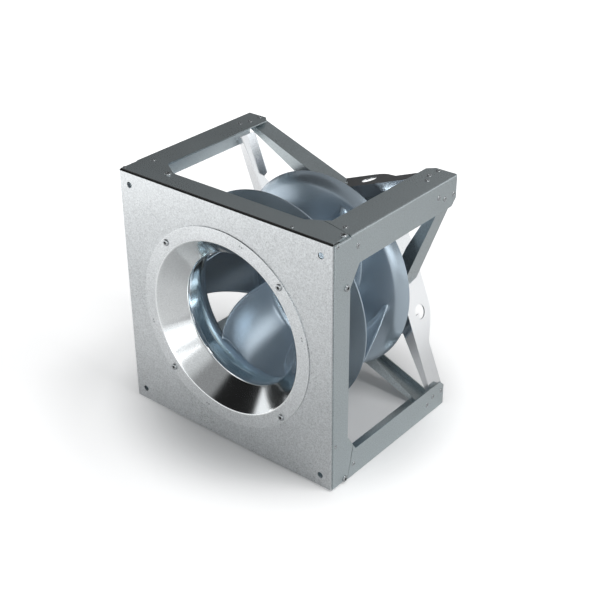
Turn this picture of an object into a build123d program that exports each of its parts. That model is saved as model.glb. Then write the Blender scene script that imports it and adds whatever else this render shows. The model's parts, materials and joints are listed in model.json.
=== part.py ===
from build123d import *
from math import acos, atan2, cos, degrees, hypot, log, pi, radians, sin, tan
import os

# Plug fan: a backward-swept impeller on an external-rotor motor in a square sheet-metal frame.
# Millimetres. X is right seen from the inlet, Y runs with the air to the rear, Z is up.
# Everything is modelled about the fan axis, with Y counted from the front of the inlet plate,
# and is then moved so that the origin is the middle of the base.

# Driving dimensions: frame
frame_width = 500.0
frame_depth = 361.0
frame_sheet = 2.5
strut_width = 59.0
band_depth = 45.0
band_front = 3.5
gusset_reach = 38.5
gusset_depth = 25.0
strut_rear_chamfer = 13.0
lap_corner_y = 45.3
lap_slope = 0.24
lap_short = 5.0
lap_meets_gusset = 72.0
lap_overlap = 4.0
lap_gap = 0.6
corner_bend = 3.5

# Driving dimensions: inlet plate and nozzle
plate_sheet = 2.5
plate_rim = 20.0
plate_bend = 2.2
mount_hole_r = 6.0
mount_hole_inset = 27.0
nozzle_sheet = 2.0
nozzle_mouth_r = 172.0
nozzle_flange_width = 27.5
nozzle_throat_r = 132.0
nozzle_throat_y = 44.0
nozzle_end_y = 53.0
mouth_bend = 4.0
throat_bend = 11.0
nozzle_screw_inset = 9.5
nozzle_rivet_r = 1.6
nozzle_screw_r = 4.0

# Driving dimensions: impeller
blade_count = 5
blade_sheet = 3.6
eye_r = 136.5
eye_front_y = 46.0
shroud_r = 221.0
shroud_rear_y = 136.0
shroud_sheet = 3.0
shroud_collar_length = 46.0
shroud_knee_width = 21.5
shroud_knee_length = 29.0
shroud_knee_bend = 60.0
shroud_flare_bend = 40.0
disc_rim_r = 205.5
disc_rear_y = 292.5
disc_shoulder_inset = 9.5
disc_skirt_length = 17.0
disc_centre_y = 230.0
disc_flat_margin = 7.0
disc_bore_r = 24.0
disc_sheet = 3.0
disc_cone_bend = 30.0
shoulder_bend = 35.0
lead_hub_r = 96.0
lead_shroud_r = 139.0
lead_shroud_y = 97.5
lead_hub_angle = -162.4
lead_shroud_turn = 26.9
trail_hub_inset = 32.0
trail_hub_angle = -73.4
trail_shroud_turn = -15.7
slope_at_hub = 20.0
slope_at_shroud = 29.0

# Driving dimensions: motor rails and braces
rail_corner_gap = 46.0
rail_offset = 153.2
rail_sheet = 2.5
rail_front_y = 321.0
rail_depth = 39.5
rail_bulge_depth = 72.0
rail_bulge_middle = 50.0
rail_bulge_half = 135.5
rail_bulge_run = 52.5
rail_bulge_bend = 90.0
rail_hole_r = 15.0
rail_hole_x = 122.5
rail_hole_y = 358.0
lip_narrow = 10.0
lip_wide = 26.0
lip_taper_end = 150.0
rear_lip = 14.0
web_into_tab = 3.0
tab_front_y = 297.0
brace_end_depth = 50.0

# Driving dimensions: motor
shaft_r = 8.5
bearing_r = 17.5
bearing_width = 10.0
tube_r = 24.0
rotor_r = 75.0
rotor_wall = 9.0
rotor_front_wall = 8.0
rotor_length = 86.0
magnet_count = 10
magnet_thick = 5.0
air_gap = 0.8
core_length = 50.0
winding_length = 12.0
motor_plate_sheet = 4.0
motor_plate_hole_r = 84.0
flange_r = 100.0
flange_thick = 10.0
flange_bolt_pcd = 182.0
motor_plate_screw_spacing = 140.0
motor_plate_screw_inset = 13.0
housing_r = 88.0
housing_depth = 44.0
housing_wall = 4.0
fin_count = 24
fin_height = 8.0
cover_thick = 5.0

# Fasteners and clearances
screw_head_r = 5.5
screw_head_height = 3.0
rivet_head_r = 4.0
rivet_head_height = 1.2
bolt_r = 4.0
hole_clearance = 0.3
running_clearance = 0.03
seat_clearance = 0.2

half = frame_width / 2
rear_most = rail_front_y + rail_bulge_depth
front_most = -(nozzle_sheet + screw_head_height)
middle_y = (rear_most + front_most) / 2
tab_under = half - frame_sheet - rail_sheet
tab_bend_x = half - rail_corner_gap
tab_bend_angle = degrees(atan2(tab_under, tab_bend_x))
rail_tilt = tab_bend_angle + degrees(acos(rail_offset / hypot(tab_bend_x, tab_under))) - 90
nozzle_flange_r = nozzle_mouth_r + nozzle_flange_width
nozzle_screw_circle = nozzle_flange_r - nozzle_screw_inset
disc_flat_r = rotor_r + disc_flat_margin
disc_shoulder_r = disc_rim_r - disc_shoulder_inset
disc_shoulder_y = disc_rear_y - disc_skirt_length
disc_cone_rise = (disc_shoulder_y - disc_centre_y) / (disc_shoulder_r - disc_flat_r)
trail_hub_r = disc_rim_r - trail_hub_inset
trail_hub_y = disc_centre_y + disc_cone_rise * (trail_hub_r - disc_flat_r)
lead_hub_y = disc_centre_y + disc_cone_rise * (lead_hub_r - disc_flat_r) + disc_sheet / 2
trail_shroud_r = shroud_r - 1.5
trail_shroud_y = shroud_rear_y + shroud_sheet
BELOW = (Align.CENTER, Align.CENTER, Align.MAX)
SIDES = ("top", "left", "bottom", "right")


def upright(shape):
    """A sketch in X and Y (radius and depth, or width and depth) becomes a solid of revolution."""
    return revolve(shape, Axis.Y, 360)


def turned(shape, angle):
    """Counterclockwise turn about the fan axis, seen from the inlet."""
    return Rotation(0, -angle, 0) * shape


def ring(r_in, r_out, y_front, y_rear):
    section = Pos((r_in + r_out) / 2, (y_front + y_rear) / 2) * Rectangle(r_out - r_in, y_rear - y_front)
    return upright(section)


def disc(r_out, y_front, y_rear):
    return ring(0, r_out, y_front, y_rear)


def peg(radius, x, z, y_front, y_rear):
    """Cylinder along the fan axis direction at x and z."""
    return Pos(x, 0, z) * disc(radius, y_front, y_rear)


def on_circle(radius, angle):
    return radius * cos(radians(angle)), radius * sin(radians(angle))


def offset_path(points, amount):
    """Points of a polyline moved sideways by amount, to the right of its direction."""
    moved = []
    for i, (x, y) in enumerate(points):
        normals = []
        if i > 0:
            normals.append(right_normal(points[i - 1], points[i]))
        if i < len(points) - 1:
            normals.append(right_normal(points[i], points[i + 1]))
        nx = sum(n[0] for n in normals) / len(normals)
        ny = sum(n[1] for n in normals) / len(normals)
        stretch = amount / (nx * nx + ny * ny)
        moved.append((x + nx * stretch, y + ny * stretch))
    return moved


def right_normal(a, b):
    length = hypot(b[0] - a[0], b[1] - a[1])
    return (b[1] - a[1]) / length, -(b[0] - a[0]) / length


def turn_side(points, i):
    """Positive where the path turns to the left at point i."""
    ax, ay = points[i][0] - points[i - 1][0], points[i][1] - points[i - 1][1]
    bx, by = points[i + 1][0] - points[i][0], points[i + 1][1] - points[i][1]
    return ax * by - ay * bx


def sheet_section(points, bends, thickness):
    """Closed section of a bent sheet: a face path with its bend radii, and the back offset from it."""
    back_points = offset_path(points, thickness)
    back_bends = []
    for i, bend in enumerate(bends):
        grows = turn_side(points, i + 1) > 0
        back_bends.append(bend + thickness if grows else bend - thickness)
    front = FilletPolyline(*points, radius=bends)
    back = FilletPolyline(*back_points, radius=back_bends)
    ends = [Line(front @ 0, back @ 0), Line(front @ 1, back @ 1)]
    return make_face(Wire([*front.edges(), *back.edges(), *[e.edge() for e in ends]]))


def plate_xy(points, z_low, z_high):
    """Flat plate with an outline in X and Y between two heights."""
    face = make_face(Polyline(*points, close=True))
    return Pos(0, 0, z_low) * extrude(face, z_high - z_low)


# Inlet plate with folded edges
def inlet_plate():
    outer = frame_width - 2 * frame_sheet
    inner = outer - 2 * plate_sheet
    tray = Pos(0, plate_rim / 2, 0) * Box(outer, plate_rim, outer)
    front_edges = tray.faces().sort_by(Axis.Y)[0].edges()
    tray = fillet(front_edges, plate_bend)
    tray -= Pos(0, plate_sheet + plate_rim / 2, 0) * Box(inner, plate_rim, inner)
    tray -= disc(nozzle_mouth_r + 2 * nozzle_sheet, -1, plate_rim)
    for sx in (-1, 1):
        for sz in (-1, 1):
            at = half - mount_hole_inset
            tray -= peg(mount_hole_r, sx * at, sz * at, -1, plate_rim)
    for x, z in nozzle_screw_places():
        tray -= peg(nozzle_screw_r + hole_clearance, x, z, -1, plate_rim)
    return tray


def nozzle_screw_places():
    return [on_circle(nozzle_screw_circle, 45 + 90 * k) for k in range(4)]


def inlet_nozzle():
    """Spun ring: flat flange, conical mouth and a short straight throat."""
    path = [
        (nozzle_flange_r, -nozzle_sheet),
        (nozzle_mouth_r, -nozzle_sheet),
        (nozzle_throat_r, nozzle_throat_y),
        (nozzle_throat_r, nozzle_end_y),
    ]
    nozzle = upright(sheet_section(path, [mouth_bend, throat_bend], nozzle_sheet))
    for x, z in nozzle_screw_places():
        nozzle -= peg(nozzle_screw_r + hole_clearance, x, z, -2 * nozzle_sheet, nozzle_sheet)
    return nozzle


def nozzle_screws():
    screws = []
    for x, z in nozzle_screw_places():
        head = peg(screw_head_r, x, z, -nozzle_sheet - screw_head_height, -nozzle_sheet)
        screws.append(head + peg(nozzle_screw_r, x, z, -nozzle_sheet, plate_sheet + 4.0))
    return screws


def nozzle_rivets():
    """Pairs of small rivets between the large screws."""
    rivets = []
    for angle in (15, 75, 195, 255):
        for step in (-0.8, 0.8):
            x, z = on_circle(nozzle_screw_circle, angle + step)
            rivets.append(peg(nozzle_rivet_r, x, z, -nozzle_sheet - nozzle_rivet_r / 2, -nozzle_sheet))
    return rivets


# Corner pieces
def along_depth(section, y_front, y_rear):
    """A section in X and Z is drawn out along the depth."""
    return Pos(0, y_rear, 0) * Rotation(90, 0, 0) * extrude(section, y_rear - y_front)


def side_window(points, x_low, x_high):
    """Block over an outline in height and depth, between two X values."""
    face = make_face(Polyline(*points, close=True))
    block = extrude(face, x_high - x_low)
    return Pos(x_low, 0, 0) * Rotation(0, -90, 0) * Pos(0, 0, -(x_high - x_low)) * block


def lap_line(u):
    """Depth of the band's end edge at a distance from the corner that it laps."""
    return lap_corner_y + lap_slope * u


def corner_piece():
    """Top left corner piece: its top flange goes on to the right as the front band."""
    left, top = -half, half
    tuck = left + frame_sheet
    gusset_u = strut_width + gusset_reach
    gusset_end = band_depth + gusset_depth
    foot = top - 2 * gusset_u
    wide = [(left, foot), (left, top), (top, top)]
    narrow = [(tuck, foot), (tuck, top), (top, top)]
    rear = along_depth(sheet_section(wide, [corner_bend], frame_sheet), band_front, frame_depth)
    front = along_depth(sheet_section(narrow, [corner_bend], frame_sheet), band_front, frame_depth)
    past = 2 * gusset_u
    front_area = [(top, 0), (top, lap_line(0) + lap_overlap), (foot, lap_line(past) + lap_overlap), (foot, 0)]
    rear_area = [(top, lap_line(0) + lap_gap), (top, frame_depth), (foot, frame_depth), (foot, lap_line(past) + lap_gap)]
    piece = (front & side_window(front_area, left, top)) + (rear & side_window(rear_area, left, top))
    lap_u = lap_meets_gusset
    lap_y = band_depth + gusset_depth * (gusset_u - lap_u) / gusset_reach
    open_top = [
        (top - gusset_u, band_depth),
        (top - lap_u, lap_y),
        (top - lap_short, lap_line(lap_short)),
        (top - lap_short, 0),
        (top + 1, 0),
        (top + 1, frame_depth + 1),
        (left + strut_width - strut_rear_chamfer - 1, frame_depth + 1),
        (left + strut_width, frame_depth - strut_rear_chamfer),
        (left + strut_width, gusset_end),
        (left + gusset_u, band_depth),
    ]
    piece -= plate_xy(open_top, top - 2 * frame_sheet, top + 1)
    low = foot - 1
    open_side = [
        (top - frame_sheet - corner_bend, -1),
        (top - frame_sheet - corner_bend, plate_rim + seat_clearance),
        (top - gusset_u, plate_rim + seat_clearance),
        (top - gusset_u, band_depth),
        (top - strut_width, gusset_end),
        (top - strut_width, frame_depth - strut_rear_chamfer),
        (top - strut_width + strut_rear_chamfer + 1, frame_depth + 1),
        (low, frame_depth + 1),
        (low, -1),
    ]
    piece -= side_window(open_side, left - 1, left + 3 * frame_sheet)
    corner_clear = Pos(tuck, 0, top - frame_sheet) * Box(
        3 * corner_bend, 2 * plate_rim + 2 * seat_clearance, 3 * corner_bend, align=(Align.MIN, Align.CENTER, Align.MAX)
    )
    return piece - corner_clear


# Fasteners of the frame: distance along each side from the corner piece's own corner, and depth
band_rivet_spots = [(7.0, 10.0), (404.0, 10.0)]
corner_rivet_spots = [(26.0, 65.0), (frame_width - 27.0, 64.5)]
corner_screw_spots = [(93.0, 35.5), (frame_width - 9.5, 37.5)]
rear_rivet_spots = [(27.0, 304.0), (36.0, 324.0), (35.5, 352.5)]


def side_heads(spots, radius, height):
    """Fastener heads on the four sides; on the base they are flush, so none is made there."""
    heads = []
    for k, side in enumerate(SIDES):
        if side == "bottom":
            continue
        for u, y in spots:
            head = Pos(-half + u, y, half) * Cylinder(
                radius, height, align=(Align.CENTER, Align.CENTER, Align.MIN)
            )
            heads.append(turned(head, 90 * k))
    return heads


def rear_heads():
    """Heads at the rear ends of the struts, the same at both corners of a side."""
    far_spots = [(frame_width - u, y) for u, y in rear_rivet_spots]
    return side_heads(rear_rivet_spots + far_spots, rivet_head_r, rivet_head_height)


# Motor rails: local X runs along the rail to its corner, local Z is outward
def in_rail_frame(shape):
    return turned(shape, rail_tilt)


def rail_x_at_height(height):
    """Local X at which the outer face of a rail reaches a height above the fan axis."""
    return (height - rail_offset * cos(radians(rail_tilt))) / sin(radians(rail_tilt))


def side_x(local_x):
    return local_x * cos(radians(rail_tilt)) - rail_offset * sin(radians(rail_tilt))


def front_lip(x_start, x_end, x_far):
    """Inward lip at the front edge, narrow at the corner and wide towards the middle."""
    outline = [
        (x_start, rail_offset),
        (x_start, rail_offset - lip_narrow),
        (lip_taper_end, rail_offset - lip_wide),
        (x_end, rail_offset - lip_wide),
        (x_far, rail_offset),
    ]
    face = make_face(Polyline(*outline, close=True))
    lip = extrude(face, rail_sheet)
    return Pos(0, rail_front_y, 0) * Rotation(90, 0, 0) * Pos(0, 0, -rail_sheet) * lip


def rear_lip_piece(x_start, x_end, y_rear):
    """Inward lip at the rear edge with a pointed end."""
    inner = rail_offset - rear_lip
    step = rear_lip if x_end < x_start else -rear_lip
    outline = [(x_start, rail_offset), (x_start, inner), (x_end + 0.6 * step, inner), (x_end, rail_offset)]
    face = make_face(Polyline(*outline, close=True))
    return Pos(0, y_rear - rail_sheet, 0) * Rotation(90, 0, 0) * Pos(0, 0, -rail_sheet) * extrude(face, rail_sheet)


def corner_tab(height, x_web):
    """Flat tab under a strut flange, from the bend at x_web to near the corner."""
    x_end = half - 14.0
    outline = [
        (x_web - rail_sheet, rail_front_y),
        (x_web + 8.0, tab_front_y),
        (x_end - 6.0, tab_front_y),
        (x_end, tab_front_y + 6.0),
        (x_end, frame_depth - 4.0),
        (x_web - rail_sheet, frame_depth - 4.0),
    ]
    return plate_xy(outline, height - rail_sheet, height)


def motor_rail():
    """Top rail: from the top right corner past the motor to the inner face of the left rail."""
    far_x = -(rail_offset - rail_sheet)
    lip_x = -(rail_offset - lip_wide) + 1.0
    behind_lip = rail_front_y + rail_sheet
    tab_height = half - frame_sheet
    start_x = rail_x_at_height(tab_height - rail_sheet) + web_into_tab
    rear_y = rail_front_y + rail_depth
    bulge_y = rail_front_y + rail_bulge_depth
    run_top = rail_bulge_half - rail_bulge_run
    straight = [
        (start_x, rear_y),
        (start_x, rail_front_y),
        (lip_x, rail_front_y),
        (lip_x, behind_lip),
        (far_x, behind_lip),
        (far_x, rear_y),
    ]
    web = make_face(Polyline(*straight, close=True))
    bulge_points = [
        (rail_bulge_middle + rail_bulge_half, rear_y),
        (rail_bulge_middle + run_top, bulge_y),
        (rail_bulge_middle - run_top, bulge_y),
        (rail_bulge_middle - rail_bulge_half, rear_y),
    ]
    crest = FilletPolyline(*bulge_points, radius=rail_bulge_bend)
    foot = Line(crest @ 1, crest @ 0)
    web += make_face(Wire([*crest.edges(), foot.edge()]))
    web -= Pos(rail_hole_x, rail_hole_y) * Circle(rail_hole_r)
    rail = Pos(0, 0, rail_offset - rail_sheet) * extrude(web, rail_sheet)
    rail += front_lip(start_x, lip_x, lip_x)
    rail += rear_lip_piece(start_x, rail_bulge_middle + rail_bulge_half + 3.0, rear_y)
    rail += rear_lip_piece(far_x + 30.0, rail_bulge_middle - rail_bulge_half - 3.0, rear_y)
    end_tab_height = rear_lip + 12.0
    end_tab = Box(rail_sheet, 26.0, end_tab_height, align=(Align.MIN, Align.MIN, Align.MAX))
    rail += Pos(far_x, rail_front_y + 9.0, rail_offset - rail_sheet / 2) * end_tab
    rail = in_rail_frame(rail)
    rail += corner_tab(tab_height, side_x(start_x))
    return rail


def rail_brace():
    """Brace of the top side from the top left corner to the middle of the top rail."""
    tab_height = half - frame_sheet
    start_x = rail_x_at_height(tab_height - rail_sheet) + web_into_tab
    ridge_x = rail_offset * tan(radians(rail_tilt))
    end_rear = rail_front_y + brace_end_depth
    outline = [
        (start_x, rail_front_y),
        (ridge_x, rail_front_y),
        (ridge_x, end_rear - 14.0),
        (ridge_x + 6.0, end_rear),
        (start_x, rail_front_y + rail_depth),
    ]
    web = make_face(Polyline(*outline, close=True))
    brace = Pos(0, 0, rail_offset - rail_sheet) * extrude(web, rail_sheet)
    brace += front_lip(start_x, ridge_x, ridge_x)
    brace += rear_lip_piece(start_x, ridge_x + 60.0, rail_front_y + rail_depth)
    brace = in_rail_frame(brace)
    brace += corner_tab(tab_height, side_x(start_x))
    brace = mirror(brace, Plane.YZ)
    reach = frame_width
    below_rail = Pos(0, rail_front_y, rail_offset) * Box(2 * reach, reach, reach, align=BELOW)
    brace -= in_rail_frame(below_rail)
    foot = Pos(ridge_x, rail_front_y + 9.0, rail_offset) * Box(
        28.0, 26.0, rail_sheet, align=(Align.MAX, Align.MIN, Align.MIN)
    )
    return brace + in_rail_frame(foot)


def motor_plate_screw_places():
    """Places in the rail frame, two on each side of the motor plate."""
    reach = rail_offset - rail_sheet - motor_plate_screw_inset
    places = []
    for k in range(4):
        for x in (-motor_plate_screw_spacing / 2, motor_plate_screw_spacing / 2):
            angle = 90 * k + rail_tilt + degrees(atan2(reach, x))
            places.append(on_circle(hypot(x, reach), angle))
    return places


def motor_plate():
    """Square plate behind the rail lips with a hole for the rotor."""
    y_front = rail_front_y + rail_sheet
    size = 2 * (rail_offset - rail_sheet - seat_clearance)
    plate = Pos(0, y_front + motor_plate_sheet / 2, 0) * Box(size, motor_plate_sheet, size)
    plate = in_rail_frame(fillet(plate.edges().filter_by(Axis.Y), 8.0))
    plate -= disc(motor_plate_hole_r, y_front - 1, y_front + motor_plate_sheet + 1)
    for x, z in flange_bolt_places() + motor_plate_screw_places():
        plate -= peg(bolt_r + hole_clearance, x, z, y_front - 1, y_front + motor_plate_sheet + 1)
    return plate


def flange_bolt_places():
    return [on_circle(flange_bolt_pcd / 2, 45 + rail_tilt + 90 * k) for k in range(4)]


def motor_plate_screws():
    y_plate = rail_front_y + rail_sheet + motor_plate_sheet
    screws = []
    for x, z in motor_plate_screw_places():
        head = peg(screw_head_r + 1.0, x, z, y_plate, y_plate + 5.0)
        screws.append(head + peg(bolt_r, x, z, y_plate - motor_plate_sheet, y_plate))
    return screws


# Motor
flange_y = rail_front_y + rail_sheet + motor_plate_sheet
rotor_front_y = disc_centre_y + disc_sheet
rotor_rear_y = rotor_front_y + rotor_length
core_middle_y = rotor_front_y + 55.0
tube_front_y = rotor_front_y + rotor_front_wall + 5.0
front_bearing_y = tube_front_y + 2.0
rear_bearing_y = flange_y + flange_thick - bearing_width - 3.0
core_r = rotor_r - rotor_wall - magnet_thick - air_gap


def stator_flange():
    """Cast flange with a bearing tube that reaches into the rotor, and stiffening ribs."""
    flange = disc(flange_r, flange_y, flange_y + flange_thick)
    flange += ring(motor_plate_hole_r - 6.0, motor_plate_hole_r - 0.5, flange_y - motor_plate_sheet, flange_y)
    flange += disc(tube_r, tube_front_y, flange_y)
    flange -= disc(bearing_r - 3.0, tube_front_y - 1, flange_y + flange_thick + 1)
    flange -= disc(bearing_r, tube_front_y - 1, front_bearing_y + bearing_width)
    flange -= disc(bearing_r, rear_bearing_y, flange_y + flange_thick + 1)
    for x, z in flange_bolt_places():
        flange -= peg(bolt_r + hole_clearance, x, z, flange_y - 1, flange_y + flange_thick + 1)
    return flange


def flange_bolts():
    bolts = []
    y_front = flange_y - motor_plate_sheet
    y_rear = flange_y + flange_thick
    for x, z in flange_bolt_places():
        head = Pos(x, y_rear, z) * Rotation(-90, 0, 0) * extrude(RegularPolygon(7.0, 6), 5.0)
        nut = Pos(x, y_front - 6.0, z) * Rotation(-90, 0, 0) * extrude(RegularPolygon(7.0, 6), 6.0)
        bolts.append(head + nut + peg(bolt_r, x, z, y_front - 9.0, y_rear))
    return bolts


def stator_core():
    return ring(tube_r, core_r, core_middle_y - core_length / 2, core_middle_y + core_length / 2)


def stator_windings():
    y_front = core_middle_y - core_length / 2
    y_rear = core_middle_y + core_length / 2
    r_in, r_out = tube_r + 5.0, core_r - 3.0
    return [ring(r_in, r_out, y_front - winding_length, y_front), ring(r_in, r_out, y_rear, y_rear + winding_length)]


def bearing(y_front):
    """Ball bearing: outer ring, inner ring and a shielded middle, one solid each."""
    bore = shaft_r + running_clearance
    rings = [ring(bearing_r - 2.5, bearing_r, y_front, y_front + bearing_width)]
    rings.append(ring(bore, bore + 2.5, y_front, y_front + bearing_width))
    rings.append(ring(bore + 2.5, bearing_r - 2.5, y_front + 1.0, y_front + bearing_width - 1.0))
    return rings


retainer_y = flange_y + flange_thick - 2.7
retainer_thick = 1.0
groove_depth = 0.8


def motor_shaft():
    """Shaft with a groove for the retaining ring behind the rear bearing."""
    shaft = disc(shaft_r, rotor_front_y + 1.0, flange_y + flange_thick - 1.0)
    return shaft - ring(shaft_r - groove_depth, shaft_r + 1, retainer_y, retainer_y + retainer_thick)


def retaining_ring():
    """Open spring ring in the groove of the shaft."""
    clip = ring(shaft_r - groove_depth, shaft_r + 2.2, retainer_y, retainer_y + retainer_thick)
    opening = Pos(0, retainer_y, 0) * Box(3.0, 4 * retainer_thick, 2 * shaft_r + 6, align=BELOW)
    return clip - opening


def rotor_cup():
    """Steel cup round the stator, closed at the front, with a boss for the shaft and hub screw holes."""
    cup = disc(rotor_r, rotor_front_y, rotor_rear_y)
    cup -= disc(rotor_r - rotor_wall, rotor_front_y + rotor_front_wall, rotor_rear_y + 1)
    cup += disc(16.0, rotor_front_y + rotor_front_wall, tube_front_y - 1.0)
    cup += disc(disc_bore_r - 0.5, disc_centre_y, rotor_front_y)
    cup -= disc(shaft_r, rotor_front_y + 1.0, rotor_rear_y)
    for x, z in hub_screw_places():
        cup -= peg(hub_screw_r, x, z, rotor_front_y - 1, rotor_front_y + rotor_front_wall - 1.5)
    return cup


def rotor_magnets():
    r_out = rotor_r - rotor_wall
    r_in = r_out - magnet_thick
    full = ring(r_in, r_out, core_middle_y - core_length / 2, core_middle_y + core_length / 2)
    gap = Pos(r_out, core_middle_y, 0) * Box(2 * r_out, core_length + 2, 3.0)
    for k in range(magnet_count // 2):
        full -= turned(Pos(-r_out, 0, 0) * gap, 360 / magnet_count * k)
    return full.solids()


# Electronics housing behind the flange
housing_y = flange_y + flange_thick
housing_rear_y = housing_y + housing_depth


def electronics_housing():
    """Cast round housing with cooling fins and two flat bosses for the cable glands."""
    shell = disc(housing_r, housing_y, housing_rear_y)
    for k in range(fin_count):
        fin = Pos(housing_r + fin_height / 2 - 1.0, housing_y + housing_depth / 2 - 2.0, 0) * Box(
            fin_height + 2.0, housing_depth - 8.0, 3.0
        )
        at = 360 / fin_count * (k + 0.5)
        if gland_side(at):
            continue
        shell += turned(fin, at)
    for angle in gland_angles:
        shell += turned(gland_boss(), angle)
    inner_r = housing_r - housing_wall
    shell -= disc(inner_r, housing_y + housing_wall, housing_rear_y + 1)
    for angle in gland_angles:
        bore = Pos(housing_r, gland_y, 0) * Rotation(0, 90, 0) * Cylinder(gland_r, 60.0)
        shell -= turned(bore, angle)
    clear_r = screw_head_r + 3.0
    for x, z in flange_bolt_places():
        shell -= peg(clear_r, x, z, housing_y - 1, housing_y + 9.0)
    return shell


gland_angles = (250.0, 290.0)
gland_r = 8.0
gland_y = housing_y + 24.0


def gland_side(angle):
    return any(abs(angle - g) < 16 for g in gland_angles)


def gland_boss():
    return Pos(housing_r + 1.0, gland_y, 0) * Box(12.0, 34.0, 34.0)


def cable_gland(angle):
    """Gland with a hexagonal body, a domed nut and a blind bore where the cable would enter."""
    base = housing_r + 7.0
    body = Pos(base, gland_y, 0) * Rotation(0, 90, 0) * extrude(RegularPolygon(13.0, 6), 7.0)
    thread = Pos(base, gland_y, 0) * Rotation(0, -90, 0) * extrude(Circle(gland_r), 10.0)
    nut = Pos(base + 7.0, gland_y, 0) * Rotation(0, 90, 0) * extrude(RegularPolygon(12.0, 6), 12.0)
    dome = Pos(base + 19.0, gland_y, 0) * Rotation(0, 90, 0) * extrude(Circle(9.5), 5.0, taper=20)
    gland = body + thread + nut + dome
    gland -= Pos(base + 25.0, gland_y, 0) * Rotation(0, -90, 0) * extrude(Circle(5.0), 14.0)
    return turned(gland, angle)


def electronics_board():
    y = housing_y + housing_wall + 8.0
    board_r = housing_r - housing_wall - 3.0
    board = disc(board_r, y, y + 2.0)
    parts = Pos(0, y + 8.0, 0.27 * board_r) * Box(0.64 * board_r, 12.0, 0.37 * board_r)
    parts += Pos(-0.37 * board_r, y + 7.0, -0.27 * board_r) * Box(0.3 * board_r, 10.0, 0.44 * board_r)
    posts = disc(9.0, housing_y + housing_wall, y)
    return board + parts + posts


seal_r_in = housing_r - 0.75 * housing_wall
seal_r_out = housing_r - 0.25 * housing_wall
seal_thick = 1.5


def cover_seal():
    return ring(seal_r_in, seal_r_out, housing_rear_y, housing_rear_y + seal_thick)


def electronics_cover():
    cover = disc(housing_r, housing_rear_y, housing_rear_y + cover_thick)
    cover = chamfer(cover.faces().sort_by(Axis.Y)[-1].edges(), 2.0)
    cover -= ring(seal_r_in, seal_r_out, housing_rear_y - 1, housing_rear_y + seal_thick)
    for x, z in cover_screw_places():
        cover -= peg(bolt_r / 2, x, z, housing_rear_y - 1, housing_rear_y + cover_thick + 1)
    return cover


def cover_screw_places():
    return [on_circle(housing_r - 6.0, 30 + 60 * k) for k in range(6)]


def cover_screws():
    y = housing_rear_y + cover_thick
    screws = []
    for x, z in cover_screw_places():
        screws.append(peg(4.0, x, z, y, y + 2.5) + peg(bolt_r / 2 - 0.1, x, z, housing_rear_y, y))
    return screws


# Impeller
hub_screw_r = 3.0
hub_screw_circle = 56.0
hub_ring_width = 24.0
hub_ring_thick = 3.0
weight_thick = 3.5
weight_width = 5.0
weight_length = 22.0


def hub_screw_places():
    return [on_circle(hub_screw_circle, 60 * k) for k in range(6)]


def disc_path():
    """Front face of the back disc from the bore to the rear edge of its skirt."""
    return [
        (disc_bore_r, disc_centre_y),
        (disc_flat_r, disc_centre_y),
        (disc_shoulder_r, disc_shoulder_y),
        (disc_rim_r, disc_rear_y),
    ]


def shroud_path():
    """Air side of the front shroud from the eye to the rim."""
    collar_end = eye_front_y + shroud_collar_length
    knee = (eye_r + shroud_knee_width, collar_end + shroud_knee_length)
    return [(eye_r, eye_front_y), (eye_r, collar_end), knee, (shroud_r, shroud_rear_y)]


shroud_bends = [shroud_knee_bend, shroud_flare_bend]


def impeller_back_disc():
    section = sheet_section(disc_path()[::-1], [shoulder_bend, disc_cone_bend], disc_sheet)
    back = upright(section)
    for x, z in hub_screw_places():
        back -= peg(hub_screw_r + hole_clearance, x, z, disc_centre_y - 1, rotor_front_y + 1)
    return back


def impeller_front_shroud():
    return upright(sheet_section(shroud_path(), shroud_bends, shroud_sheet))


def hub_ring():
    """Clamping ring on the front of the back disc, under the hub screws."""
    r_in = hub_screw_circle - hub_ring_width / 2
    clamp = ring(r_in, r_in + hub_ring_width, disc_centre_y - hub_ring_thick, disc_centre_y)
    for x, z in hub_screw_places():
        clamp -= peg(hub_screw_r + hole_clearance, x, z, disc_centre_y - 4, disc_centre_y + 1)
    return clamp


def hub_screws():
    y = disc_centre_y - hub_ring_thick
    screws = []
    for x, z in hub_screw_places():
        head = peg(screw_head_r, x, z, y - 4.0, y)
        screws.append(head + peg(hub_screw_r, x, z, y, rotor_front_y + rotor_front_wall - 2.0))
    return screws


def lead_share(y):
    """Share of the way along the leading edge, from the back disc to the shroud."""
    return (lead_hub_y - y) / (lead_hub_y - lead_shroud_y)


def trail_share(y):
    return (trail_hub_y - y) / (trail_hub_y - trail_shroud_y)


def lead_radius(y):
    return lead_hub_r + (lead_shroud_r - lead_hub_r) * lead_share(y)


def trail_radius(y):
    return trail_hub_r + (trail_shroud_r - trail_hub_r) * trail_share(y)


def lead_angle(y):
    """Angle of the leading edge: it trails at the hub and bends forward near the shroud."""
    v = min(1.3, max(-0.3, lead_share(y)))
    return lead_hub_angle + lead_shroud_turn * (0.3 * v + 0.7 * v ** 3)


def trail_angle(y):
    """Angle of the trailing edge: it sweeps quickly near the back disc."""
    v = min(1.0, max(-0.1, trail_share(y)))
    return trail_hub_angle + trail_shroud_turn * (1 - (1 - v) ** 2)


blade_overrun = 8.0


def edge_slope(share):
    """Angle between the blade and the circle through its edge: flatter at the back disc."""
    return radians(slope_at_hub + (slope_at_shroud - slope_at_hub) * min(1.1, max(-0.1, share)))


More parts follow.
